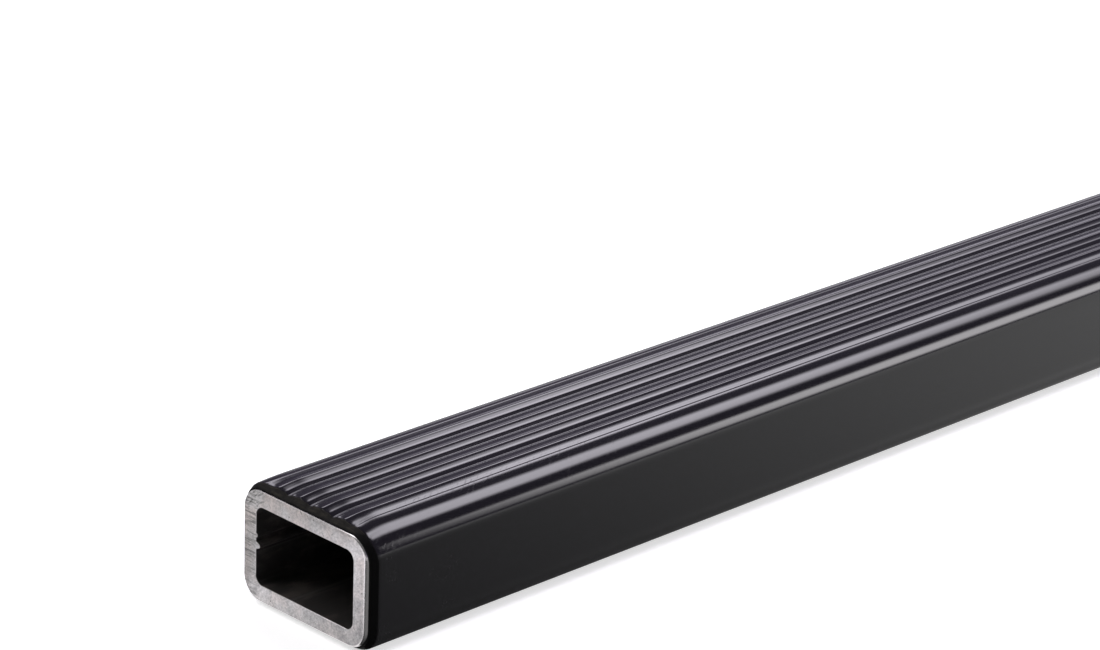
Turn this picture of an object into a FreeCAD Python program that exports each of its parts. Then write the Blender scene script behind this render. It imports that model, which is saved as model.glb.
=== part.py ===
"""Roof rack crossbar: a rectangular welded steel tube in a ribbed plastic jacket.

Millimetres. X runs along the bar with its middle at 0, Y is across it, +Z is up, and the flat
underside of the jacket lies on z = 0. Both ends are alike.
"""

import math
import os

import FreeCAD
import Part

# Steel tube
TUBE_LENGTH = 1200.0
TUBE_WIDTH = 30.0
TUBE_HEIGHT = 20.0
WALL = 3.0
TUBE_CORNER = 4.0
BORE_CORNER = 1.7
END_BREAK = 0.3

# Weld flash: a ridge along the inside of the +Y wall, at a height above the underside, and a trace over it
FLASH_HEIGHT = 9.8
FLASH_REACH = 0.9
FLASH_HALF_WIDTH = 0.7
TRACE_REACH = 0.35
TRACE_HALF_WIDTH = 0.5
FLASH_TO_TRACE = 0.6

# Jacket walls, as thicknesses over the tube
SIDE_SKIN = 1.0
BOTTOM_SKIN = 1.0
SHOULDER_SKIN = 1.24
BOTTOM_CORNER = 5.0
TOP_CORNER = 5.45

# Jacket ribs: V grooves and low ridges take turns across the top
RIB_PITCH = 5.43
LAND_RISE = 0.13
RIDGE_RISE = 0.235
RIDGE_HALF_WIDTH = 1.2
OUTER_FOOT = 0.3
GROOVE_DEPTH = 0.34
GROOVE_HALF_WIDTH = 0.75
CREST_RADIUS = 1.2
FOOT_RADIUS = 1.5
EDGE_RADIUS = 1.2
GROOVE_RADIUS = 0.6

# Jacket ends: a thin lip short of the steel, a slanting cut, and the top drawn down towards that cut
END_SETBACK = 0.8
CUT_LENGTH = 1.3
LIP_SHARE = 0.3
DROOP = 0.4
DROOP_LENGTH = 5.0
DROOP_STEPS = 5

# The tube and the jacket touch face to face all round
TUBE_TO_JACKET = 0.0

TUBE_BOTTOM = BOTTOM_SKIN
TUBE_TOP = TUBE_BOTTOM + TUBE_HEIGHT
SHOULDER_Z = TUBE_TOP + SHOULDER_SKIN
LAND_Z = SHOULDER_Z + LAND_RISE
CREST_Z = LAND_Z + RIDGE_RISE
GROOVE_Z = LAND_Z - GROOVE_DEPTH
INNER_RIDGE = RIB_PITCH / 2
OUTER_RIDGE = 3 * RIB_PITCH / 2
TRACE_HEIGHT = FLASH_HEIGHT + FLASH_HALF_WIDTH + FLASH_TO_TRACE + TRACE_HALF_WIDTH
LIP_X = TUBE_LENGTH / 2 - END_SETBACK
FULL_X = LIP_X - CUT_LENGTH


def rounded_wire(corners, x):
    """Closed wire in the plane at x through the corners (y, z, radius), each rounded by its own radius."""
    arcs = []
    for i, (y, z, radius) in enumerate(corners):
        here = FreeCAD.Vector(x, y, z)
        before = FreeCAD.Vector(x, *corners[i - 1][:2]) - here
        after = FreeCAD.Vector(x, *corners[(i + 1) % len(corners)][:2]) - here
        before.normalize()
        after.normalize()
        half_angle = before.getAngle(after) / 2
        reach = radius / math.tan(half_angle)
        inward = (before + after).normalize()
        middle = here + inward * (radius / math.sin(half_angle) - radius)
        arcs.append((here + before * reach, middle, here + after * reach))
    edges = []
    for i, (start, middle, end) in enumerate(arcs):
        edges.append(Part.Arc(start, middle, end).toShape())
        edges.append(Part.LineSegment(end, arcs[(i + 1) % len(arcs)][0]).toShape())
    return Part.Wire(edges)


def prism(corners, half_length):
    """Solid bar of one rounded section, from -half_length to +half_length along X."""
    face = Part.Face(rounded_wire(corners, -half_length))
    return face.extrude(FreeCAD.Vector(2 * half_length, 0, 0))


def tube_outline(clearance=0.0):
    """Corners of the tube's outside, grown by a clearance."""
    half = TUBE_WIDTH / 2 + clearance
    low = TUBE_BOTTOM - clearance
    high = TUBE_TOP + clearance
    radius = TUBE_CORNER + clearance
    return [(-half, low, radius), (half, low, radius), (half, high, radius), (-half, high, radius)]


def flash_ridge(wall_y, height, reach, half_width):
    """Corners of one ridge of weld flash, going up the wall."""
    z = TUBE_BOTTOM + height
    foot = half_width * 0.2
    crest = half_width * 0.35
    tip_y = wall_y - reach
    return [
        (wall_y, z - half_width, foot),
        (tip_y, z - crest, foot),
        (tip_y, z + crest, foot),
        (wall_y, z + half_width, foot),
    ]


def bore_outline():
    """Corners of the tube's bore, with the weld flash standing into it from the +Y wall."""
    half = TUBE_WIDTH / 2 - WALL
    low = TUBE_BOTTOM + WALL
    high = TUBE_TOP - WALL
    flash = flash_ridge(half, FLASH_HEIGHT, FLASH_REACH, FLASH_HALF_WIDTH)
    trace = flash_ridge(half, TRACE_HEIGHT, TRACE_REACH, TRACE_HALF_WIDTH)
    start = [(-half, low, BORE_CORNER), (half, low, BORE_CORNER)]
    end = [(half, high, BORE_CORNER), (-half, high, BORE_CORNER)]
    return start + flash + trace + end


def jacket_outline(drop, share=1.0):
    """Corners of the jacket's outside, with its top let down by drop and its skin thinned to a share."""
    top = [(OUTER_RIDGE + RIDGE_HALF_WIDTH + OUTER_FOOT, SHOULDER_Z, FOOT_RADIUS)]
    top.append((OUTER_RIDGE, CREST_Z, CREST_RADIUS))
    top.append((OUTER_RIDGE - RIDGE_HALF_WIDTH, LAND_Z, FOOT_RADIUS))
    for groove in (RIB_PITCH, 0.0):
        top.append((groove + GROOVE_HALF_WIDTH, LAND_Z, EDGE_RADIUS))
        top.append((groove, GROOVE_Z, GROOVE_RADIUS))
        if groove > 0:
            top.append((groove - GROOVE_HALF_WIDTH, LAND_Z, EDGE_RADIUS))
            top.append((INNER_RIDGE + RIDGE_HALF_WIDTH, LAND_Z, FOOT_RADIUS))
            top.append((INNER_RIDGE, CREST_Z, CREST_RADIUS))
            top.append((INNER_RIDGE - RIDGE_HALF_WIDTH, LAND_Z, FOOT_RADIUS))
    mirrored = [(-y, z, radius) for y, z, radius in reversed(top[:-1])]
    ribs = [(y, TUBE_TOP + (z - drop - TUBE_TOP) * share, radius) for y, z, radius in top + mirrored]
    half = TUBE_WIDTH / 2 + SIDE_SKIN * share
    low = TUBE_BOTTOM - BOTTOM_SKIN * share
    high = TUBE_TOP + (SHOULDER_SKIN - drop) * share
    low_radius = TUBE_CORNER + (BOTTOM_CORNER - TUBE_CORNER) * share
    high_radius = TUBE_CORNER + (TOP_CORNER - drop - TUBE_CORNER) * share
    start = [(-half, low, low_radius), (half, low, low_radius), (half, high, high_radius)]
    return start + ribs + [(-half, high, high_radius)]


def steel_tube():
    """Rectangular welded tube with a bore, weld flash and lightly broken outer end edges."""
    outside = prism(tube_outline(), TUBE_LENGTH / 2)
    end_edges = [edge for edge in outside.Edges if abs(abs(edge.CenterOfMass.x) - TUBE_LENGTH / 2) < 1e-6]
    outside = outside.makeChamfer(END_BREAK, end_edges)
    bore = prism(bore_outline(), TUBE_LENGTH / 2 + WALL)
    return outside.cut(bore)


def ribbed_jacket():
    """Jacket lofted through lip, slanting cut, drooping end, straight run and the same again, then hollowed."""
    stations = [(LIP_X, DROOP, LIP_SHARE)]
    for step in range(DROOP_STEPS + 1):
        along = step / DROOP_STEPS
        stations.append((FULL_X - DROOP_LENGTH * along, DROOP * (1 - along) ** 2, 1.0))
    near = [(-x, drop, share) for x, drop, share in stations]
    wires = [rounded_wire(jacket_outline(drop, share), x) for x, drop, share in near + stations[::-1]]
    outside = Part.makeLoft(wires, True, True)
    return outside.cut(prism(tube_outline(TUBE_TO_JACKET), TUBE_LENGTH / 2))


def main():
    os.makedirs("parts", exist_ok=True)
    for name, build in (("steel_tube", steel_tube), ("ribbed_jacket", ribbed_jacket)):
        build().exportStep(f"parts/{name}.step")


main()
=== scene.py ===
"""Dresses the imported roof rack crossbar: a bare steel tube in a ribbed black jacket, on a pale floor."""

import math
from typing import NamedTuple

import bpy
import numpy as np
from mathutils import Matrix, Vector


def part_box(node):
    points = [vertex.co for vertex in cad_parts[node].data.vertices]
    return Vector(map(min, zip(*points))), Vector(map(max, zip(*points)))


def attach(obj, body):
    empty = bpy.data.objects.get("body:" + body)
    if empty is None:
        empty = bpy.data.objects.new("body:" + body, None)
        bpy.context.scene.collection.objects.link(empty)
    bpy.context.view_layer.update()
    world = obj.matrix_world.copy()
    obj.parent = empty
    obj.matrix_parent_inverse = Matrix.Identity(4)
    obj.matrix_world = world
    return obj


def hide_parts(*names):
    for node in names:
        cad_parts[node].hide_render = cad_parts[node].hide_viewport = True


bl_info = {
    "name": "Roof rack crossbar",
    "version": (1, 0, 0),
    "blender": (4, 5, 0),
    "location": "3D View > Sidebar > Crossbar",
    "description": "Builds the steel tube and the ribbed jacket of a roof rack crossbar, and their stage",
    "category": "Object",
}

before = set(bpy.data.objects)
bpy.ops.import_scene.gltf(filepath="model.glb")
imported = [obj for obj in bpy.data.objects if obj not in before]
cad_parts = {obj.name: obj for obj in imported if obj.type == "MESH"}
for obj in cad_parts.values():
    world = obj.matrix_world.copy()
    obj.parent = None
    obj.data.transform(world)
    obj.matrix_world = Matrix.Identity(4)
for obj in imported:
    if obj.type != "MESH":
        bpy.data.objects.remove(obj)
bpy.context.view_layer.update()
TUBE_LOW, TUBE_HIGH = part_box("steel_tube")
JACKET_LOW, JACKET_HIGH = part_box("ribbed_jacket")
MM = 0.001
TUBE_CORNER = 4.0 * MM
TUBE_MIDDLE_Z = (TUBE_LOW.z + TUBE_HIGH.z) / 2

# Points round a section: along half its underside, in each corner, up each side and along the top
JACKET_COUNTS = (24, 22, 10, 330)
TUBE_COUNTS = (14, 14, 70, 28)

# Edges that fold by more than this stay sharp
FOLD_ANGLE = math.radians(35)

# Ribbed top, in millimetres: the heights of its five cosines and their mean, how far out the ribs reach
# towards +Y and towards -Y and how softly they end, and where the last rib on the -Y side starts
RIB_WAVES = (-0.190, -0.025, -0.052, -0.015, -0.012)
RIB_MEAN = 0.08
RIBS_TO_PLUS_Y, RIBS_TO_MINUS_Y, RIBS_SOFT = 9.0, 9.55, 0.6
LAST_RIB_START, LAST_RIB_SOFT = -5.0, 0.15

# Loops along the jacket: those in each end crowd towards the face by a power of the distance
END_REACH = 18 * MM
END_LOOPS, END_POWER = 30, 2.1
MIDDLE_LOOPS = 93

# Slanting cut: how round its upper end is, and the band of heights over which it advances towards the face,
# with how far that lasts along the bar
RAMP_ROUNDING = 0.04
ADVANCE_START, ADVANCE_BAND, ADVANCE_FADE = TUBE_HIGH.z - 4.5 * MM, 4.8 * MM, 6 * MM

# Ragged edge of that cut: its depth, how far it lasts along the bar, and its sines round the section, each by
# its turns, its phase and its share
RAGGED_DEPTH, RAGGED_FADE = 0.05 * MM, 0.9 * MM
RAGGED_SINES = ((5, 1.0, 1.0), (13, 0.0, 0.6), (29, 0.0, 0.4))

# How far the jacket's bore ends short of its lip
JACKET_BORE_INSET = 0.06 * MM

# Weld flash and the trace above it
FLASH_HALF_WIDTH = 0.55 * MM
TRACE_ABOVE, TRACE_REACH, TRACE_HALF_WIDTH = 1.8 * MM, 0.35 * MM, 0.4 * MM

# Their changes along the bar are sines of a phase, each with its depth and its pace: the flash's way up and
# down in metres, and the shares that its reach and the trace's reach gain and lose
FLASH_WANDER, WANDER_PACE = 0.15 * MM, 1.7
FLASH_CHANGE, FLASH_PACE = 0.12, 2.9
TRACE_CHANGE, TRACE_PACE = 0.3, 4.1
PHASE_PER_METRE = 400

# Tube's ends: the broken edge of the bore, and the loops along the bore and over each rounded outer edge
BORE_EDGE = 0.12 * MM
BORE_LOOPS = 60
EDGE_LOOPS = 7

# Rounding of the saw cut, as shares of the end break: its mean, how much less on top, its least and its most,
# and the width over which it grows again to the corner towards -Y
BREAK_MEAN, BREAK_TOP = 0.9, 1.1
BREAK_LEAST, BREAK_MOST = 0.2, 2.0
BREAK_CORNER = 3 * MM

# Colours of the finishes that a user wouldn't change
SCUFFED_PLASTIC = (0.016, 0.016, 0.017)
# The first paints the jacket's cut nearly black by the tube as painted shade; the other two are its own
# smears and dust
CUT_PAINTED_SHADE, CUT_SMEARED, CUT_DUSTY = (0.0025, 0.0025, 0.0025), (0.009, 0.0084, 0.0075), (0.022, 0.020, 0.016)
WARM_STEEL, GREY_STEEL, MILL_STEEL = (0.92, 0.85, 0.835), (0.30, 0.293, 0.297), (0.72, 0.70, 0.70)
PITTED_STEEL = (0.1, 0.095, 0.09)
RUSTY_SCALE, DRAWN_SCALE = (0.07, 0.061, 0.056), (0.09, 0.088, 0.086)

# Studio: the colour of most panels and of the two that light the near end and the side, the white below the
# horizon, the colours of the room's two halves and where one turns into the other, and the horizon's blur
COOL = (0.95, 0.915, 1.0)
NEUTRAL = (0.95, 0.925, 0.945)
WHITE = (1.0, 1.0, 1.0)
NEAR_ROOM, FAR_ROOM = (0.76, 0.76, 0.76), (0.80, 0.72, 1.0)
FAR_ROOM_FROM, FAR_ROOM_TO = -0.1, 0.3
HORIZON_BAND = 0.012

# Floor: how far it reaches, the brightness that it is lifted by near the bar and far from it, and between
# which distances that grows
FLOOR_REACH = 12.0
LIFT_NEAR, LIFT_FAR = 0.62, 1.0
LIFT_FROM, LIFT_TO = 1.0, 3.5

# Cards: how far past the bar's ends they run, the standing one's gap to the jacket and its height over the
# tube, and how far the lying one goes under the jacket and away from it, with its height over the floor
CARD_MARGIN = 0.1
CARD_GAP, CARD_ABOVE_TUBE = 4 * MM, 1 * MM
CARD_UNDER_JACKET, CARD_REACH, CARD_ABOVE_FLOOR = 2.8 * MM, 4.0, 0.3 * MM

# The card that lies on the floor, a painted reflection: the strength of its glow by the near end and from
# where to where along the bar it brightens, the share that is left of it close to the bar as painted shade
# and between which distances from the jacket it grows to the whole
NEAR_END_GLOW, BRIGHTEN_FROM, BRIGHTEN_TO = 0.12, -50 * MM, 300 * MM
CLOSE_SHARE, CLOSE_FROM, CLOSE_TO = 0.3, -2 * MM, 4 * MM

# Photograph: its size in pixels and the pixel that shows the middle of the tube's near face
PHOTO_WIDTH, PHOTO_HEIGHT = 1100, 650
NEAR_FACE_PIXEL = (303.83, 568.13)

# Camera's sensor, in millimetres
SENSOR_WIDTH = 36.0

# Panels, in metres: their distance from the target, how far along the bar that is, how far a soft step goes
# to each side as a multiple of its softness, from where a side leans, a sheet sags and its light fades, and
# the share that a whole fade takes off the lamp
PANEL_DISTANCE = 2.2
TARGET_FROM_END = 50 * MM
SOFT_REACH = 1.33
LEAN_FROM, SAG_FROM = -0.45, -0.09
FADE_FROM, FADE_TO = -0.5, 0.0
FADE_LOSS = 0.3


class PanelPlan(NamedTuple):
    """A studio panel: its place in degrees round the target, its size and its glow.

    The sides are left, right, bottom and top, in metres from the panel's middle. The softness is that of the
    left side, of the right side, and of the bottom and top, in metres. Its left side moves right by lean for
    each metre down, it sinks by sag for each metre to the left, and a share fade of its light fades away
    towards its foot.
    """

    name: str
    tint: tuple
    azimuth: float
    elevation: float
    sides: tuple
    soft: tuple
    radiance: float
    lean: float = 0.0
    sag: float = 0.0
    fade: float = 0.0


PANELS = (
    PanelPlan(
        "back panel",
        COOL,
        -13.1,
        47.5,
        (-0.52, 0.48, -0.75, 0.47),
        (0.18, 0.18, 0.18),
        7.1,
        lean=0.6,
        fade=0.5,
    ),
    PanelPlan("high panel", COOL, -23.0, 64.0, (-0.42, 0.42, -0.16, 0.30), (0.12, 0.12, 0.12), 6.6),
    PanelPlan("far panel", COOL, 41.8, 27.9, (-0.30, 0.25, -0.12, 0.25), (0.226, 0.165, 0.16), 4.9, sag=1.0),
    PanelPlan("upper far panel", COOL, 58.0, 37.0, (-0.22, 0.30, -0.25, 0.27), (0.12, 0.12, 0.12), 4.2),
    PanelPlan("low strip", COOL, 43.3, 5.7, (-0.33, 0.30, -0.056, 0.056), (0.165, 0.165, 0.165), 2.2),
    PanelPlan("side panel", NEUTRAL, -39.3, 11.9, (-0.35, 0.35, -0.265, 0.36), (0.16, 0.16, 0.10), 7.2),
    PanelPlan("fill panel", NEUTRAL, 125.0, 52.0, (-0.75, 0.75, -0.75, 0.75), (0.15, 0.15, 0.15), 3.0),
)


class TubeSizes(bpy.types.PropertyGroup):
    """Sizes of the steel tube."""

    wall: bpy.props.FloatProperty(
        name="Wall", description="Thickness of the tube's wall", default=3.0 * MM, unit="LENGTH"
    )
    bore_corner: bpy.props.FloatProperty(
        name="Bore corner", description="Radius of the bore's corners", default=1.7 * MM, unit="LENGTH"
    )
    end_break: bpy.props.FloatProperty(
        name="End break",
        description="Rounding of the outer edge of the saw cut",
        default=0.35 * MM,
        unit="LENGTH",
    )
    flash_height: bpy.props.FloatProperty(
        name="Flash height",
        description="Height of the weld flash above the tube's underside",
        default=9.8 * MM,
        unit="LENGTH",
    )
    flash_reach: bpy.props.FloatProperty(
        name="Flash reach",
        description="How far the weld flash stands into the bore",
        default=0.9 * MM,
        unit="LENGTH",
    )
    steel_colour: bpy.props.FloatVectorProperty(
        name="Steel", description="Colour of the bare steel", default=(0.90, 0.875, 0.88), subtype="COLOR"
    )
    scale_colour: bpy.props.FloatVectorProperty(
        name="Mill scale",
        description="Colour of the scale inside the tube",
        default=(0.028, 0.026, 0.025),
        subtype="COLOR",
    )


class JacketSizes(bpy.types.PropertyGroup):
    """Sizes of the plastic jacket."""

    bottom_corner: bpy.props.FloatProperty(
        name="Bottom corner",
        description="Radius of the jacket's lower corners",
        default=5.0 * MM,
        unit="LENGTH",
    )
    top_corner: bpy.props.FloatProperty(
        name="Top corner",
        description="Radius of the jacket's upper corners",
        default=5.41 * MM,
        unit="LENGTH",
    )
    pitch: bpy.props.FloatProperty(
        name="Rib pitch", description="Distance from one groove to the next", default=5.40 * MM, unit="LENGTH"
    )
    rib_shift: bpy.props.FloatProperty(
        name="Rib shift",
        description="How far the ribs sit off the middle, towards +Y",
        default=0.19 * MM,
        unit="LENGTH",
    )
    last_rib_offset: bpy.props.FloatProperty(
        name="Last rib offset",
        description="How much farther out the last rib towards -Y lies",
        default=0.25 * MM,
        unit="LENGTH",
    )
    shoulder_skin: bpy.props.FloatProperty(
        name="Shoulder skin",
        description="Thickness over the tube at the smooth shoulders",
        default=1.28 * MM,
        unit="LENGTH",
    )
    cut_length: bpy.props.FloatProperty(
        name="Cut length",
        description="Length of the slanting cut at each end",
        default=1.3 * MM,
        unit="LENGTH",
    )
    top_advance: bpy.props.FloatProperty(
        name="Top advance",
        description="How much nearer the face the cut lies on top than on the sides",
        default=0.65 * MM,
        unit="LENGTH",
    )
    lip_share: bpy.props.FloatProperty(
        name="Lip share", description="Share of the skin that is left at the lip of the cut", default=0.3
    )
    droop: bpy.props.FloatProperty(
        name="Droop", description="How far the top is drawn down at the cut", default=0.4 * MM, unit="LENGTH"
    )
    droop_length: bpy.props.FloatProperty(
        name="Droop length", description="Length of the drawn-down end", default=5.0 * MM, unit="LENGTH"
    )
    plastic_colour: bpy.props.FloatVectorProperty(
        name="Plastic", description="Colour of the jacket", default=(0.0046, 0.0042, 0.0056), subtype="COLOR"
    )
    roughness: bpy.props.FloatProperty(
        name="Roughness", description="Roughness of the extruded surface", default=0.12, min=0.0, max=1.0
    )


class StageLook(bpy.types.PropertyGroup):
    """Colour of the floor, and strengths of the room and of the card that stands beside the bar as a painted
    reflection.
    """

    floor_colour: bpy.props.FloatVectorProperty(
        name="Floor", description="Colour of the floor", default=(0.86, 0.86, 0.86), subtype="COLOR"
    )
    room_light: bpy.props.FloatProperty(
        name="Room light", description="Strength of the dim room above the floor", default=0.21, min=0.0
    )
    # Glow of the card that stands beside the bar, a painted reflection that darkens what the jacket's far
    # side mirrors
    standing_card_glow: bpy.props.FloatProperty(
        name="Card tone", description="Brightness of the card standing beside the bar", default=0.49, min=0.0
    )


class Term:
    """A shader value that ordinary arithmetic works on, by adding Math nodes."""

    def __init__(self, paint, socket):
        self.paint = paint
        self.socket = socket

    def _math(self, operation, *terms):
        inputs = {i: term for i, term in enumerate(terms)}
        return self.paint.add("ShaderNodeMath", {"operation": operation}, inputs).out(0)

    def __add__(self, other):
        return self._math("ADD", self, other)

    __radd__ = __add__

    def __mul__(self, other):
        return self._math("MULTIPLY", self, other)

    __rmul__ = __mul__

    def __sub__(self, other):
        return self._math("SUBTRACT", self, other)

    def __rsub__(self, other):
        return self._math("SUBTRACT", other, self)

    def __abs__(self):
        return self._math("ABSOLUTE", self)

    def least(self, other):
        return self._math("MINIMUM", self, other)

    def most(self, other):
        return self._math("MAXIMUM", self, other)

    def rise(self, low, high):
        """0 below low, 1 above high, and a smooth step between."""
        inputs = {"Value": self, "From Min": low, "From Max": high}
        return self.paint.add("ShaderNodeMapRange", {"interpolation_type": "SMOOTHSTEP"}, inputs).out(0)


class Added:
    """A node that has been added, with its outputs as terms."""

    def __init__(self, paint, node):
        self.paint = paint
        self.node = node

    def out(self, name):
        return Term(self.paint, self.node.outputs[name])


class Paint:
    """Builds one node tree."""

    def __init__(self, tree):
        self.tree = tree
        self.tree.nodes.clear()

    def add(self, kind, settings=None, inputs=None):
        """Adds a node: its settings first, then the values or links of its sockets."""
        node = self.tree.nodes.new(kind)
        for name, value in (settings or {}).items():
            setattr(node, name, value)
        for name, value in (inputs or {}).items():
            if isinstance(value, Term):
                self.tree.links.new(value.socket, node.inputs[name])
            else:
                node.inputs[name].default_value = value
        return Added(self, node)

    def place(self):
        """Object coordinates as a vector, and as three numbers in metres."""
        vector = self.add("ShaderNodeTexCoord").out("Object")
        split = self.add("ShaderNodeSeparateXYZ", None, {0: vector})
        return vector, split.out("X"), split.out("Y"), split.out("Z")

    def turn(self, vector, degrees):
        """Coordinates turned about X, Y and Z, so that a pattern lies aslant."""
        turn = tuple(math.radians(angle) for angle in degrees)
        return self.add("ShaderNodeMapping", None, {"Vector": vector, "Rotation": turn}).out(0)

    def noise(self, vector, stretch, detail=3.0, rough=0.5):
        """Noise whose grain is one metre divided by the stretch in X, Y and Z."""
        spread = self.add("ShaderNodeVectorMath", {"operation": "MULTIPLY"}, {0: vector, 1: stretch}).out(0)
        inputs = {"Vector": spread, "Scale": 1.0, "Detail": detail, "Roughness": rough}
        return self.add("ShaderNodeTexNoise", None, inputs).out(0)

    def blend(self, factor, first, second):
        """Colour that goes from first to second as the factor goes from 0 to 1."""
        mix = self.add("ShaderNodeMix", {"data_type": "RGBA"}, {0: factor, 6: first, 7: second})
        return mix.out(2)

    def bump(self, height, distance, strength=1.0, normal=None):
        """Normal disturbed by a height in units of distance metres."""
        inputs = {"Height": height, "Distance": distance, "Strength": strength}
        if normal is not None:
            inputs["Normal"] = normal
        return self.add("ShaderNodeBump", None, inputs).out(0)

    def finish(self, shader, kind="ShaderNodeOutputMaterial"):
        self.add(kind, None, {"Surface": shader})


def colour(values):
    """Colour with its alpha."""
    return (*values, 1.0)


def new_material(name):
    """A material with an empty node tree."""
    material = bpy.data.materials.new(name)
    material.use_nodes = True
    return material, Paint(material.node_tree)


def jacket_plastic(sizes):
    """Black extruded plastic: glossy, with faint die lines along the bar and fine scuffs near its ends."""
    material, paint = new_material("black jacket plastic")
    vector, x, y, _ = paint.place()
    lines = paint.noise(vector, (1.5, 4200.0, 4200.0), 2.0)
    grain = paint.noise(vector, (700.0, 2100.0, 2100.0), 3.0, 0.6)
    clouds = paint.noise(vector, (16.0, 90.0, 90.0), 3.0)
    turned = paint.turn(vector, (0.0, 0.0, -35.0))
    scrapes = paint.noise(turned, (420.0, 2600.0, 900.0), 3.0, 0.65)
    patches = paint.noise(vector, (75.0, 210.0, 210.0), 2.0)
    handled = abs(x).rise(JACKET_HIGH.x - 85 * MM, JACKET_HIGH.x - 15 * MM) * (1 - y.rise(-11 * MM, -8 * MM))
    worn = scrapes.rise(0.52, 0.7) * patches.rise(0.42, 0.6) * handled
    tint = paint.blend(worn * 0.25, colour(sizes.plastic_colour), colour(SCUFFED_PLASTIC))
    rough = clouds * 0.03 + grain * 0.03 + worn * 0.18 + (sizes.roughness - 0.03)
    smooth = paint.bump(lines, 0.003 * MM, 0.35)
    marked = paint.bump(worn, 0.005 * MM, 0.5, smooth)
    normal = paint.bump(grain, 0.003 * MM, 0.45, marked)
    shader = paint.add(
        "ShaderNodeBsdfPrincipled",
        None,
        {"Base Color": tint, "Roughness": rough, "IOR": 1.5, "Normal": normal},
    )
    paint.finish(shader.out(0))
    return material


def cut_plastic():
    """The jacket's knife-cut ends: dull, almost without a reflection, and painted nearly black as painted
    shade by the tube.
    """
    material, paint = new_material("cut jacket plastic")
    vector, _, _, z = paint.place()
    drag = paint.noise(vector, (2200.0, 500.0, 900.0), 4.0, 0.6)
    # Painted shade: below the tube's top and in a thin band just above it the cut is painted nearly black,
    # for the shadow in the gap along the steel; higher up it shows its smears and dust
    above = z.rise(TUBE_HIGH.z + 0.15 * MM, TUBE_HIGH.z + 0.5 * MM)
    dusty = paint.blend(drag.rise(0.4, 0.7), colour(CUT_SMEARED), colour(CUT_DUSTY))
    tint = paint.blend(above, colour(CUT_PAINTED_SHADE), dusty)
    normal = paint.bump(drag, 0.02 * MM, 0.7)
    shader = paint.add(
        "ShaderNodeBsdfPrincipled",
        None,
        {"Base Color": tint, "Roughness": 0.6, "Specular IOR Level": 0.08, "Normal": normal},
    )
    paint.finish(shader.out(0))
    return material


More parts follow.
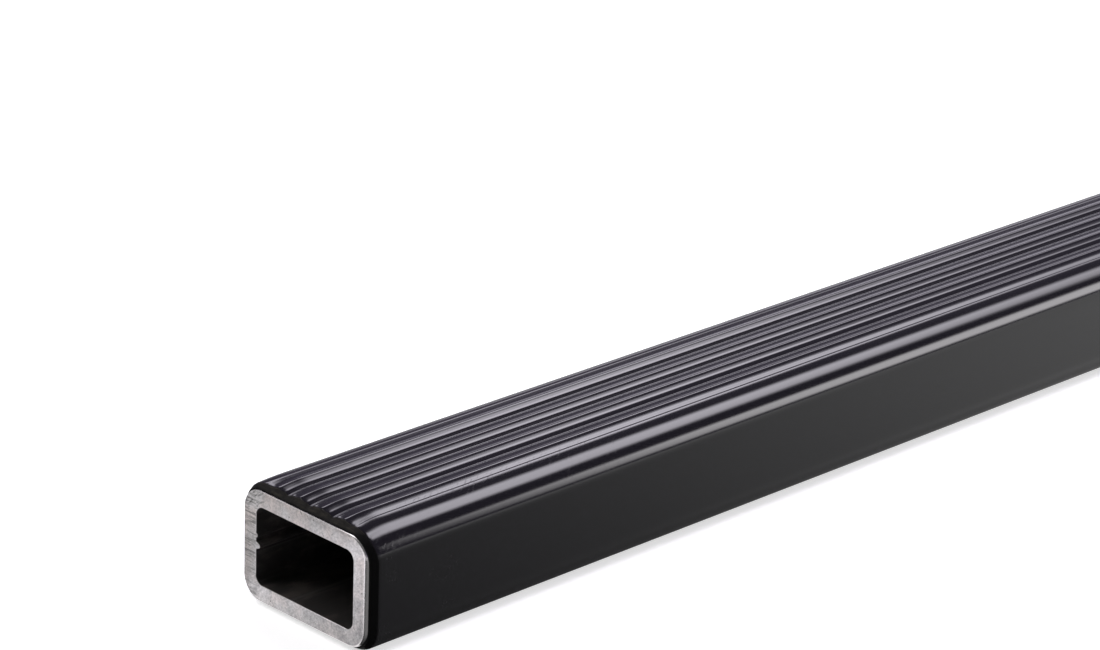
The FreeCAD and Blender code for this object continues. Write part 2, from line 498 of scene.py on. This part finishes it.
def tube_steel(sizes):
    """Bare steel: saw-cut ends with warm stains, pits and painted light, bright mill finish outside, dark
    scale inside.
    """
    material, paint = new_material("bare tube steel")
    vector, x, y, z = paint.place()

    # Where the saw cut, the outside and the inside lie
    half_width = TUBE_HIGH.y - sizes.wall
    half_height = (TUBE_HIGH.z - TUBE_LOW.z) / 2 - sizes.wall
    face = abs(x).rise(TUBE_HIGH.x - 0.05 * MM, TUBE_HIGH.x - 0.01 * MM)
    across = abs(y).rise(half_width + 0.02 * MM, half_width + 0.1 * MM)
    up = abs(z - TUBE_MIDDLE_Z).rise(half_height + 0.02 * MM, half_height + 0.1 * MM)
    outside = 1 - (1 - across) * (1 - up)
    inside = (1 - outside) * (1 - face)

    # Saw cut: the saw's marks and scratches aslant, blotches, pits, and scoring by the +Y wall
    turned = paint.turn(vector, (38.0, 0.0, 0.0))
    saw = paint.noise(turned, (1.0, 420.0, 5200.0), 3.0, 0.65)
    scratches = paint.noise(turned, (1.0, 2900.0, 330.0), 2.0, 0.6)
    mottle = paint.noise(vector, (1800.0, 1900.0, 2300.0), 4.0, 0.65)
    stains = paint.noise(vector, (400.0, 380.0, 380.0), 3.0, 0.6)
    hues = paint.noise(vector, (300.0, 230.0, 230.0), 1.0)
    specks = paint.noise(vector, (900.0, 1250.0, 1250.0), 1.0)
    pits = specks.rise(0.70, 0.78) * face
    nicks = scratches.rise(0.62, 0.74) * stains.rise(0.45, 0.6) * face
    hatch = paint.noise(vector, (1.0, 260.0, 3000.0), 3.0, 0.6).rise(0.46, 0.66)
    scored = paint.noise(turned, (1.0, 500.0, 3200.0), 2.0, 0.6).rise(0.5, 0.7)
    corner = y.rise(8 * MM, 12 * MM) * z.rise(TUBE_HIGH.z - 5 * MM, TUBE_HIGH.z - 2 * MM)
    marks = hatch * y.rise(11 * MM, 12.5 * MM) * 0.6 + scored * corner * 0.6 + nicks * 0.7

    # Outside and bore: lines left by the rollers, rust and drawn streaks
    rolled = paint.noise(vector, (40.0, 3500.0, 3500.0), 3.0)
    rust = paint.noise(vector, (130.0, 330.0, 330.0), 5.0, 0.65)
    streaks = paint.noise(vector, (9.0, 900.0, 900.0), 2.0)

    # Colours: the saw cut from grey to bright with dark pits and marks, painted lighter towards its top and
    # towards +Y as painted light, the scale, and the outside
    # Painted light: the saw cut is painted lighter towards the top and towards +Y, on top of its own mottle,
    # stains and saw marks
    painted_light_slope = z.rise(TUBE_LOW.z + 2 * MM, TUBE_HIGH.z - 2 * MM) * 0.42 + y.rise(-14 * MM, 14 * MM) * 0.30 + 0.16
    level = (mottle - 0.5) * 1.3 + (stains - 0.5) * 0.9 + (saw - 0.5) * 0.5 + painted_light_slope
    bright = paint.blend(hues.rise(0.4, 0.65), colour(sizes.steel_colour), colour(WARM_STEEL))
    shaded = paint.blend(level, colour(GREY_STEEL), bright)
    pitted = paint.blend(1 - (1 - pits) * (1 - marks), shaded, colour(PITTED_STEEL))
    scale = paint.blend(rust.rise(0.47, 0.68), colour(sizes.scale_colour), colour(RUSTY_SCALE))
    drawn = paint.blend(streaks.rise(0.6, 0.75) * 0.5, scale, colour(DRAWN_SCALE))
    outer = paint.blend(face, colour(MILL_STEEL), pitted)
    tint = paint.blend(inside, outer, drawn)

    # Surface
    rough = face * 0.17 + rolled * 0.1 + saw * face * 0.15 + 0.2 + inside * 0.22
    metal = 1 - inside * 0.75 - pits * 0.8
    cut = paint.bump(saw, 0.01 * MM, 0.8)
    worn = paint.bump(stains, 0.02 * MM, 0.3, cut)
    normal = paint.bump(rolled, 0.003 * MM, 0.5, worn)
    shader = paint.add(
        "ShaderNodeBsdfPrincipled",
        None,
        {"Base Color": tint, "Roughness": rough, "Metallic": metal, "Normal": normal},
    )
    paint.finish(shader.out(0))
    return material


def arc(centre, radius, start, end, count):
    """Points on a circle: centre plus radius times the cosine and sine of an angle from start to end."""
    angle = np.linspace(start, end, count)
    return np.stack([centre[0] + radius * np.cos(angle), centre[1] + radius * np.sin(angle)], 1)


def run(start, end, count):
    """Points on a straight run, its two ends left to the arcs beside it."""
    share = np.linspace(0.0, 1.0, count + 2)[1:-1, None]
    return np.asarray(start) * (1 - share) + np.asarray(end) * share


def ring(half, low, high, low_radius, high_radius, counts, relief=None, flash=None):
    """Rounded rectangle as one closed run of (y, z) points, from the middle of its underside towards +Y.

    Four quarter arcs are joined by straight runs. The relief, a function of y, is added to the height of
    the top run. The flash, a function of z, is taken off the y of the run up the +Y side.
    """
    bottom_count, corner_count, side_count, top_count = counts
    low_y, high_y = half - low_radius, half - high_radius
    low_z, high_z = low + low_radius, high - high_radius
    quarter = math.pi / 2
    side = run((half, low_z), (half, high_z), side_count)
    if flash is not None:
        side[:, 0] -= flash(side[:, 1])
    top = run((high_y, high), (-high_y, high), top_count)
    if relief is not None:
        top[:, 1] += relief(top[:, 0])
    parts = [
        run((0.0, low), (low_y, low), bottom_count),
        arc((low_y, low_z), low_radius, -quarter, 0.0, corner_count),
        side,
        arc((high_y, high_z), high_radius, 0.0, quarter, corner_count),
        top,
        arc((-high_y, high_z), high_radius, quarter, 2 * quarter, corner_count),
        run((-half, high_z), (-half, low_z), side_count),
        arc((-low_y, low_z), low_radius, 2 * quarter, 3 * quarter, corner_count),
        run((-low_y, low), (0.0, low), bottom_count),
    ]
    return np.concatenate(parts)


def sleeve(name, loops, second=None):
    """Closed hollow shell over a grid of points: each loop joins the next, and the last joins the first.

    The rows of faces that second marks get the second material.
    """
    loops = np.asarray(loops)
    rows, columns = loops.shape[:2]
    index = np.arange(rows * columns).reshape(rows, columns)
    after = np.roll(index, -1, axis=0)
    faces = np.stack([index, np.roll(index, -1, axis=1), np.roll(after, -1, axis=1), after], -1)
    mesh = bpy.data.meshes.new(name)
    mesh.from_pydata(loops.reshape(-1, 3).tolist(), [], faces.reshape(-1, 4).tolist())
    if second is not None:
        mesh.polygons.foreach_set("material_index", np.repeat(np.asarray(second, dtype=np.int32), columns))
    mesh.shade_smooth()
    mesh.set_sharp_from_angle(angle=FOLD_ANGLE)
    piece = bpy.data.objects.new(name, mesh)
    bpy.context.scene.collection.objects.link(piece)
    return piece


def at(x, section):
    """The section's points in the plane at x."""
    return np.column_stack([np.full(len(section), x), section])


def fall(t):
    """Logistic step from 1 down to 0: 1 divided by 1 plus the exponential of t."""
    return 1 / (1 + np.exp(np.clip(t, -60, 60)))


def rib_relief(y, sizes):
    """Height of the ribbed top above its shoulders, in metres.

    A sum of five cosines of the distance across gives one groove and one ridge for each pitch. The last ridge
    towards -Y lies a little farther out. Logistic steps fade the ribs into the level shoulders.
    """
    across = (y - sizes.rib_shift) / MM
    apart = sizes.last_rib_offset / MM * fall((across - LAST_RIB_START) / LAST_RIB_SOFT)
    turn = 2 * math.pi * (across + apart) / (sizes.pitch / MM)
    ribs = RIB_MEAN + sum(height * np.cos((k + 1) * turn) for k, height in enumerate(RIB_WAVES))
    ending = fall((across - RIBS_TO_PLUS_Y) / RIBS_SOFT) * fall((-across - RIBS_TO_MINUS_Y) / RIBS_SOFT)
    return ribs * ending * MM


def jacket_section(sizes, drop, share):
    """Outline of the jacket with its top let down by drop and its skin thinned to a share."""
    return ring(
        TUBE_HIGH.y + (JACKET_HIGH.y - TUBE_HIGH.y) * share,
        TUBE_LOW.z + (JACKET_LOW.z - TUBE_LOW.z) * share,
        TUBE_HIGH.z + (sizes.shoulder_skin - drop) * share,
        TUBE_CORNER + (sizes.bottom_corner - TUBE_CORNER) * share,
        TUBE_CORNER + (sizes.top_corner - drop - TUBE_CORNER) * share,
        JACKET_COUNTS,
        lambda y: rib_relief(y, sizes) * share,
    )


def jacket_advance(section, sizes):
    """Shift of the cut towards the face: none on the sides, all of it on top, a smooth step between."""
    rise = np.clip((section[:, 1] - ADVANCE_START) / ADVANCE_BAND, 0.0, 1.0)
    return sizes.top_advance * rise * rise * (3 - 2 * rise)


def raggedness(count):
    """Depth of the ragged cut round a section of count points: the size of a sum of three sines."""
    turn = np.linspace(0, 2 * math.pi, count, endpoint=False)
    wave = sum(share * np.sin(turns * turn + phase) for turns, phase, share in RAGGED_SINES)
    return RAGGED_DEPTH * np.abs(wave)


def jacket_loops(sizes):
    """Loops of the jacket, and how far each lies from its cut: outside from near to far end, then the bore.

    The skin grows from the lip's share to the whole by a straight ramp whose upper end is rounded off: the
    ramp is 1 minus w times log(1 + exp((1 - ramp) / w)). The top's drop fades with the square of the
    distance, the cut's advance by a bell of it, and the raggedness by an exponential of it.
    """
    end = JACKET_HIGH.x
    steps = END_REACH * np.linspace(0.0, 1.0, END_LOOPS) ** END_POWER
    middle = np.linspace(-end + END_REACH, end - END_REACH, MIDDLE_LOOPS + 2)[1:-1]
    stations = np.concatenate([-end + steps, middle, (end - steps)[::-1]])
    loops, depths = [], []
    for x in stations:
        inward = end - abs(x)
        drop = sizes.droop * min(1.0, max(0.0, 1 - (inward - sizes.cut_length) / sizes.droop_length)) ** 2
        ramp = sizes.lip_share + (1 - sizes.lip_share) * inward / sizes.cut_length
        missing = (1 - ramp) / RAMP_ROUNDING
        share = 1.0 if missing < -10 else 1 - RAMP_ROUNDING * math.log(1 + math.exp(missing))
        section = jacket_section(sizes, drop, share)
        shift = jacket_advance(section, sizes) * math.exp(-((inward / ADVANCE_FADE) ** 2))
        ragged = raggedness(len(section)) * math.exp(-inward / RAGGED_FADE)
        place = at(x, section)
        place[:, 0] += math.copysign(1, x) * (shift - ragged)
        loops.append(place)
        depths.append(inward)
    bore = ring(TUBE_HIGH.y, TUBE_LOW.z, TUBE_HIGH.z, TUBE_CORNER, TUBE_CORNER, JACKET_COUNTS)
    for side in (1, -1):
        place = at(side * (end - JACKET_BORE_INSET), bore)
        place[:, 0] += side * jacket_advance(bore, sizes)
        loops.append(place)
        depths.append(0.0)
    return loops, depths


def flash_profile(z, sizes, phase):
    """How far the weld flash stands in at each height: two bells of the fourth power, the upper one small.

    The place and the two heights change along the bar with sines of the phase.
    """
    level = TUBE_LOW.z + sizes.flash_height + FLASH_WANDER * math.sin(phase * WANDER_PACE)
    main = sizes.flash_reach * (1 + FLASH_CHANGE * math.sin(phase * FLASH_PACE))
    small = TRACE_REACH * (1 + TRACE_CHANGE * math.sin(phase * TRACE_PACE))
    bell = main * np.exp(-(((z - level) / FLASH_HALF_WIDTH) ** 4))
    return bell + small * np.exp(-(((z - level - TRACE_ABOVE) / TRACE_HALF_WIDTH) ** 4))


def tube_outline(inset):
    """Outside of the tube, drawn in by an inset."""
    corner = TUBE_CORNER - inset
    return ring(TUBE_HIGH.y - inset, TUBE_LOW.z + inset, TUBE_HIGH.z - inset, corner, corner, TUBE_COUNTS)


def broken_outline(inset):
    """Outside of the tube, drawn in by an uneven share of an inset.

    The share is a mean, less that mean times the way across towards +Y, and less for the top except at the
    corner towards -Y, kept between its least and its most.
    """
    whole = tube_outline(0.0)
    half = TUBE_HIGH.y
    up = np.clip((whole[:, 1] - TUBE_MIDDLE_Z) / (TUBE_HIGH.z - TUBE_MIDDLE_Z), 0.0, 1.0)
    corner = up * np.clip((-whole[:, 0] - half + TUBE_CORNER) / BREAK_CORNER, 0.0, 1.0)
    share = BREAK_MEAN - BREAK_MEAN * whole[:, 0] / half - BREAK_TOP * up + BREAK_TOP * corner
    return whole + (tube_outline(inset) - whole) * np.clip(share, BREAK_LEAST, BREAK_MOST)[:, None]


def bore_outline(sizes, grow, x):
    """Inside of the tube at x, grown by a little at its ends, with the weld flash."""
    inset = sizes.wall - grow
    corner = sizes.bore_corner + grow
    phase = x * PHASE_PER_METRE
    return ring(
        TUBE_HIGH.y - inset,
        TUBE_LOW.z + inset,
        TUBE_HIGH.z - inset,
        corner,
        corner,
        TUBE_COUNTS,
        None,
        lambda z: flash_profile(z, sizes, phase),
    )


def tube_loops(sizes):
    """Loops of the tube: outside from near to far end over its rounded edges, then back through the bore.

    The rounding is a quarter circle of loops, widest at the upper corner towards -Y and down from there, and
    least on top and towards +Y.
    """
    end = TUBE_HIGH.x
    edge = sizes.end_break
    turns = np.linspace(0.0, math.pi / 2, EDGE_LOOPS)
    rounding = [(edge * (1 - math.sin(a)), edge * (1 - math.cos(a))) for a in turns]
    near = [at(-end + back, broken_outline(inset)) for back, inset in reversed(rounding)]
    far = [at(end - back, broken_outline(inset)) for back, inset in rounding]
    stations = np.linspace(end - BORE_EDGE, -end + BORE_EDGE, BORE_LOOPS)
    bore = [at(end, bore_outline(sizes, BORE_EDGE, end))]
    bore += [at(x, bore_outline(sizes, 0.0, x)) for x in stations]
    bore += [at(-end, bore_outline(sizes, BORE_EDGE, -end))]
    return near + far + bore


class CROSSBAR_OT_steel_tube(bpy.types.Operator):
    """Build the welded steel tube with its saw-cut ends and weld flash"""

    bl_idname = "crossbar.steel_tube"
    bl_label = "Steel tube"

    def execute(self, context):
        sizes = context.scene.crossbar_tube
        piece = sleeve("welded_tube", tube_loops(sizes))
        piece.data.materials.append(tube_steel(sizes))
        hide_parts("steel_tube")
        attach(piece, "root")
        return {"FINISHED"}


class CROSSBAR_OT_ribbed_jacket(bpy.types.Operator):
    """Build the ribbed plastic jacket with its drawn-down ends"""

    bl_idname = "crossbar.ribbed_jacket"
    bl_label = "Ribbed jacket"

    def execute(self, context):
        sizes = context.scene.crossbar_jacket
        loops, depths = jacket_loops(sizes)
        ends = np.maximum(depths, np.roll(depths, -1)) < sizes.cut_length
        piece = sleeve("extruded_jacket", loops, ends)
        piece.data.materials.append(jacket_plastic(sizes))
        piece.data.materials.append(cut_plastic())
        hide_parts("ribbed_jacket")
        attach(piece, "root")
        return {"FINISHED"}


def floor_material(look):
    """Matt white floor. What the camera and polished things see of it is lifted to white, shadow kept.

    The lift grows away from the bar, where the lamps no longer reach.
    """
    material, paint = new_material("pale floor")
    ray = paint.add("ShaderNodeLightPath")
    seen = ray.out("Is Camera Ray") + ray.out("Is Glossy Ray") + ray.out("Is Transmission Ray")
    matt = paint.add("ShaderNodeBsdfDiffuse", None, {"Color": colour(look.floor_colour)}).out(0)
    vector = paint.add("ShaderNodeTexCoord").out("Object")
    away = paint.add("ShaderNodeVectorMath", {"operation": "LENGTH"}, {0: vector}).out(1)
    lift = away.rise(LIFT_FROM, LIFT_TO) * (LIFT_FAR - LIFT_NEAR) + LIFT_NEAR
    glow = paint.add("ShaderNodeEmission", None, {"Strength": lift}).out(0)
    lifted = paint.add("ShaderNodeAddShader", None, {0: matt, 1: glow}).out(0)
    paint.finish(paint.add("ShaderNodeMixShader", None, {0: seen, 1: matt, 2: lifted}).out(0))
    return material


def room(look):
    """World: a dim room above the horizon and white below it; the camera sees it white all round.

    Only the part of the room beyond the far end is tinted.
    """
    world = bpy.data.worlds.new("studio room")
    world.use_nodes = True
    bpy.context.scene.world = world
    paint = Paint(world.node_tree)
    direction = paint.add("ShaderNodeTexCoord").out("Generated")
    split = paint.add("ShaderNodeSeparateXYZ", None, {0: direction})
    unseen = 1 - paint.add("ShaderNodeLightPath").out("Is Camera Ray")
    dim = split.out("Z").rise(-HORIZON_BAND, 0.0) * unseen
    shade = paint.blend(split.out("X").rise(FAR_ROOM_FROM, FAR_ROOM_TO), colour(NEAR_ROOM), colour(FAR_ROOM))
    tint = paint.blend(dim, colour(WHITE), shade)
    level = dim * (look.room_light - 1.0) + 1
    back = paint.add("ShaderNodeBackground", None, {"Color": tint, "Strength": level}).out(0)
    paint.finish(back, "ShaderNodeOutputWorld")


def only_reflected(piece):
    """Hides a piece of the stage from everything but reflections."""
    piece.visible_camera = False
    piece.visible_diffuse = False
    piece.visible_transmission = False
    piece.visible_shadow = False


def panel_lamp(plan, middle, axes):
    """Area lamp of a panel, for the diffuse light alone."""
    away, across, upward = axes
    left, right, bottom, top = plan.sides
    lamp = bpy.data.lights.new(plan.name, "AREA")
    lamp.shape = "RECTANGLE"
    lamp.size = right - left
    lamp.size_y = top - bottom
    lamp.energy = plan.radiance * (1 - FADE_LOSS * plan.fade) * math.pi * lamp.size * lamp.size_y
    lamp.color = plan.tint
    source = bpy.data.objects.new(plan.name, lamp)
    source.location = middle + across * (left + right) / 2 + upward * (bottom + top) / 2
    source.rotation_euler = away.to_track_quat("Z", "Y").to_euler()
    source.visible_camera = False
    source.visible_glossy = False
    bpy.context.scene.collection.objects.link(source)


def panel_glow(plan, reach):
    """Soft-edged glow of a panel's sheet, from its UV map, which is in metres from the panel's middle.

    The brightness is the product of four smooth steps across the sides and of the fade towards the foot.
    """
    left, right, bottom, top = plan.sides
    reach_left, reach_right, reach_up = reach
    material, paint = new_material(plan.name)
    split = paint.add("ShaderNodeSeparateXYZ", None, {0: paint.add("ShaderNodeTexCoord").out("UV")})
    u, v = split.out("X"), split.out("Y")
    level = v - (u - SAG_FROM).least(0.0) * plan.sag
    inset = u + v.most(LEAN_FROM) * plan.lean
    glow = inset.rise(left - reach_left, left + reach_left)
    glow = glow * (1 - u.rise(right - reach_right, right + reach_right))
    glow = glow * level.rise(bottom - reach_up, bottom + reach_up)
    glow = glow * (1 - level.rise(top - reach_up, top + reach_up))
    glow = glow * (v.rise(FADE_FROM, FADE_TO) * plan.fade + (1 - plan.fade))
    inputs = {"Color": colour(plan.tint), "Strength": glow * plan.radiance}
    light = paint.add("ShaderNodeEmission", None, inputs).out(0)
    clear = paint.add("ShaderNodeBsdfTransparent").out(0)
    paint.finish(paint.add("ShaderNodeAddShader", None, {0: clear, 1: light}).out(0))
    return material


def panel(target, plan):
    """Studio panel facing the target: a lamp for the diffuse light, and a sheet that only reflections see."""
    a, e = math.radians(plan.azimuth), math.radians(plan.elevation)
    away = Vector((math.cos(a) * math.cos(e), math.sin(a) * math.cos(e), math.sin(e)))
    across = Vector((-math.sin(a), math.cos(a), 0.0))
    upward = away.cross(across)
    middle = target + away * PANEL_DISTANCE
    panel_lamp(plan, middle, (away, across, upward))

    left, right, bottom, top = plan.sides
    reach = tuple(SOFT_REACH * width for width in plan.soft)
    reach_left, reach_right, reach_up = reach
    outer = left - reach_left - plan.lean * (top + reach_up)
    inner = right + reach_right
    low = bottom - reach_up + plan.sag * (left - reach_left)
    high = top + reach_up
    corners = [(outer, low), (inner, low), (inner, high), (outer, high)]
    mesh = bpy.data.meshes.new(plan.name)
    mesh.from_pydata([middle + across * u + upward * v for u, v in corners], [], [(0, 1, 2, 3)])
    places = mesh.uv_layers.new(name="place")
    for loop, corner in zip(places.data, corners):
        loop.uv = corner
    mesh.materials.append(panel_glow(plan, reach))
    sheet = bpy.data.objects.new(f"{plan.name} sheet", mesh)
    bpy.context.scene.collection.objects.link(sheet)
    only_reflected(sheet)


def card(name, corners, tone):
    """Flat white glowing card that only reflections show, a painted reflection; tone gives the strength of
    its glow.
    """
    mesh = bpy.data.meshes.new(name)
    mesh.from_pydata(corners, [], [(0, 1, 2, 3)])
    piece = bpy.data.objects.new(name, mesh)
    material, paint = new_material(name)
    inputs = {"Color": colour(WHITE), "Strength": tone(paint)}
    paint.finish(paint.add("ShaderNodeEmission", None, inputs).out(0))
    mesh.materials.append(material)
    bpy.context.scene.collection.objects.link(piece)
    only_reflected(piece)


def lying_reflection_glow(paint):
    """Glow of the card lying on the floor, a painted reflection: dark by the near end and brighter along the
    bar, and dark close to it as painted shade.
    """
    _, x, y, _ = paint.place()
    along = x.rise(TUBE_LOW.x + BRIGHTEN_FROM, TUBE_LOW.x + BRIGHTEN_TO) + NEAR_END_GLOW
    return along * ((JACKET_LOW.y - y).rise(CLOSE_FROM, CLOSE_TO) * (1 - CLOSE_SHARE) + CLOSE_SHARE)


def cards(look):
    """Glowing cards along the bar, painted reflections that keep the white of the floor out of its sides.

    One stands on the far side, just higher than the tube. One lies on the floor on the near side.
    """
    near, far = TUBE_LOW.x - CARD_MARGIN, TUBE_HIGH.x + CARD_MARGIN
    behind, top = JACKET_HIGH.y + CARD_GAP, TUBE_HIGH.z + CARD_ABOVE_TUBE
    standing = [(near, behind, 0.0), (far, behind, 0.0), (far, behind, top), (near, behind, top)]
    card("standing painted reflection", standing, lambda paint: look.standing_card_glow)
    front, reach = JACKET_LOW.y + CARD_UNDER_JACKET, JACKET_LOW.y - CARD_REACH
    low = CARD_ABOVE_FLOOR
    lying = [(near, front, low), (near, reach, low), (far, reach, low), (far, front, low)]
    card("lying painted reflection", lying, lying_reflection_glow)


def photograph_camera():
    """Camera of the photograph: turned, raised and rolled as measured, aimed past the near end of the bar.

    The focal length is in pixels, and the distance to the tube's near face in millimetres.
    """
    azimuth, elevation, roll = math.radians(-44.838), math.radians(21.817), math.radians(2.05)
    focal, distance = 4144.69, 674.567
    back = Vector(
        (
            math.sin(azimuth) * math.cos(elevation),
            -math.cos(azimuth) * math.cos(elevation),
            math.sin(elevation),
        )
    )
    right = Vector((math.cos(azimuth), math.sin(azimuth), 0.0))
    up = back.cross(right)
    across = right * math.cos(roll) + up * math.sin(roll)
    upward = up * math.cos(roll) - right * math.sin(roll)
    side = (NEAR_FACE_PIXEL[0] - PHOTO_WIDTH / 2) / focal * distance
    lift = -(NEAR_FACE_PIXEL[1] - PHOTO_HEIGHT / 2) / focal * distance
    near_face = Vector((TUBE_LOW.x / MM, 0.0, TUBE_MIDDLE_Z / MM))
    place = (near_face + back * distance - across * side - upward * lift) * MM
    data = bpy.data.cameras.new("camera")
    data.sensor_width = SENSOR_WIDTH
    data.lens = focal / PHOTO_WIDTH * SENSOR_WIDTH
    data.clip_start = 10 * MM
    camera = bpy.data.objects.new("camera", data)
    turn = Matrix((across, upward, back)).transposed().to_4x4()
    camera.matrix_world = Matrix.Translation(place) @ turn
    bpy.context.scene.collection.objects.link(camera)
    bpy.context.scene.camera = camera


class CROSSBAR_OT_stage(bpy.types.Operator):
    """Lay the floor, hang the lamps and set up the camera"""

    bl_idname = "crossbar.stage"
    bl_label = "Stage"

    def execute(self, context):
        look = context.scene.crossbar_stage
        mesh = bpy.data.meshes.new("floor")
        reach = FLOOR_REACH
        corners = [(-reach, -reach, 0.0), (reach, -reach, 0.0), (reach, reach, 0.0), (-reach, reach, 0.0)]
        mesh.from_pydata(corners, [], [(0, 1, 2, 3)])
        mesh.materials.append(floor_material(look))
        floor = bpy.data.objects.new("floor", mesh)
        context.scene.collection.objects.link(floor)
        room(look)
        target = Vector((TUBE_LOW.x + TARGET_FROM_END, 0.0, TUBE_MIDDLE_Z))
        for plan in PANELS:
            panel(target, plan)
        cards(look)
        context.scene.view_settings.view_transform = "Standard"
        photograph_camera()
        return {"FINISHED"}


class CROSSBAR_PT_panel(bpy.types.Panel):
    """The crossbar's pieces and stage"""

    bl_label = "Crossbar"
    bl_idname = "CROSSBAR_PT_panel"
    bl_space_type = "VIEW_3D"
    bl_region_type = "UI"
    bl_category = "Crossbar"

    def draw(self, context):
        scene = context.scene
        for group, operator in (
            (scene.crossbar_tube, "crossbar.steel_tube"),
            (scene.crossbar_jacket, "crossbar.ribbed_jacket"),
            (scene.crossbar_stage, "crossbar.stage"),
        ):
            box = self.layout.box()
            for name in group.__annotations__:
                box.prop(group, name)
            box.operator(operator)


CLASSES = (
    TubeSizes,
    JacketSizes,
    StageLook,
    CROSSBAR_OT_steel_tube,
    CROSSBAR_OT_ribbed_jacket,
    CROSSBAR_OT_stage,
    CROSSBAR_PT_panel,
)


def register():
    for each in CLASSES:
        bpy.utils.register_class(each)
    bpy.types.Scene.crossbar_tube = bpy.props.PointerProperty(type=TubeSizes)
    bpy.types.Scene.crossbar_jacket = bpy.props.PointerProperty(type=JacketSizes)
    bpy.types.Scene.crossbar_stage = bpy.props.PointerProperty(type=StageLook)


def unregister():
    del bpy.types.Scene.crossbar_tube
    del bpy.types.Scene.crossbar_jacket
    del bpy.types.Scene.crossbar_stage
    for each in reversed(CLASSES):
        bpy.utils.unregister_class(each)


def main():
    register()
    bpy.ops.crossbar.steel_tube()
    bpy.ops.crossbar.ribbed_jacket()
    bpy.ops.crossbar.stage()
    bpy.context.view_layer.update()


if __name__ == "__main__":
    main()
